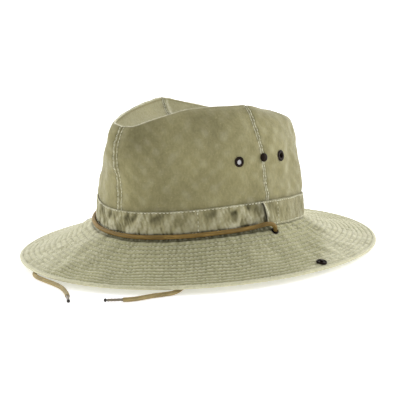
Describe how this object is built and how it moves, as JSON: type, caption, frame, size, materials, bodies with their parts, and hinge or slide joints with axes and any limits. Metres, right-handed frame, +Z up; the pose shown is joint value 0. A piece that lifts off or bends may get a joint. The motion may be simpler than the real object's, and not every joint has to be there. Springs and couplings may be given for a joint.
{
  "type": "safari hat",
  "caption": "Cotton safari hat with a dented crown, a lapped cloth band, a wide stitched brim, press studs, eyelets and a thin chin cord.",
  "frame": {"origin": "on the surface that the hat stands on, under the middle of the brim", "axes": "+X to the wearer's left, -Y to the hat's front, +Z up"},
  "size_m": [0.3108, 0.3817, 0.1432],
  "materials": {
    "crown_cloth": "matt cotton twill, double stitched seams",
    "band_cloth": "matt cotton twill, folded edges",
    "brim_cloth": "matt cotton twill, stitched in rings",
    "black_metal": "blackened, half gloss",
    "cord": "waxed tan cord",
    "cord_tip": "shrunk sleeve with a sealed end"
  },
  "bodies": {
    "root": {"crown": "crown_cloth", "hat_band": "band_cloth", "brim": "brim_cloth", "front_eyelet_left": "black_metal", "front_eyelet_right": "black_metal", "crown_stud_left": "black_metal", "crown_stud_right": "black_metal", "rear_eyelet_left": "black_metal", "rear_eyelet_right": "black_metal", "cord_eyelet_left": "black_metal", "cord_eyelet_right": "black_metal", "brim_socket_left": "black_metal", "brim_socket_right": "black_metal", "chin_cord_front": "cord", "chin_cord_left": "cord", "chin_cord_right": "cord", "cord_tip_left": "cord_tip", "cord_tip_right": "cord_tip"}
  },
  "joints": []
}
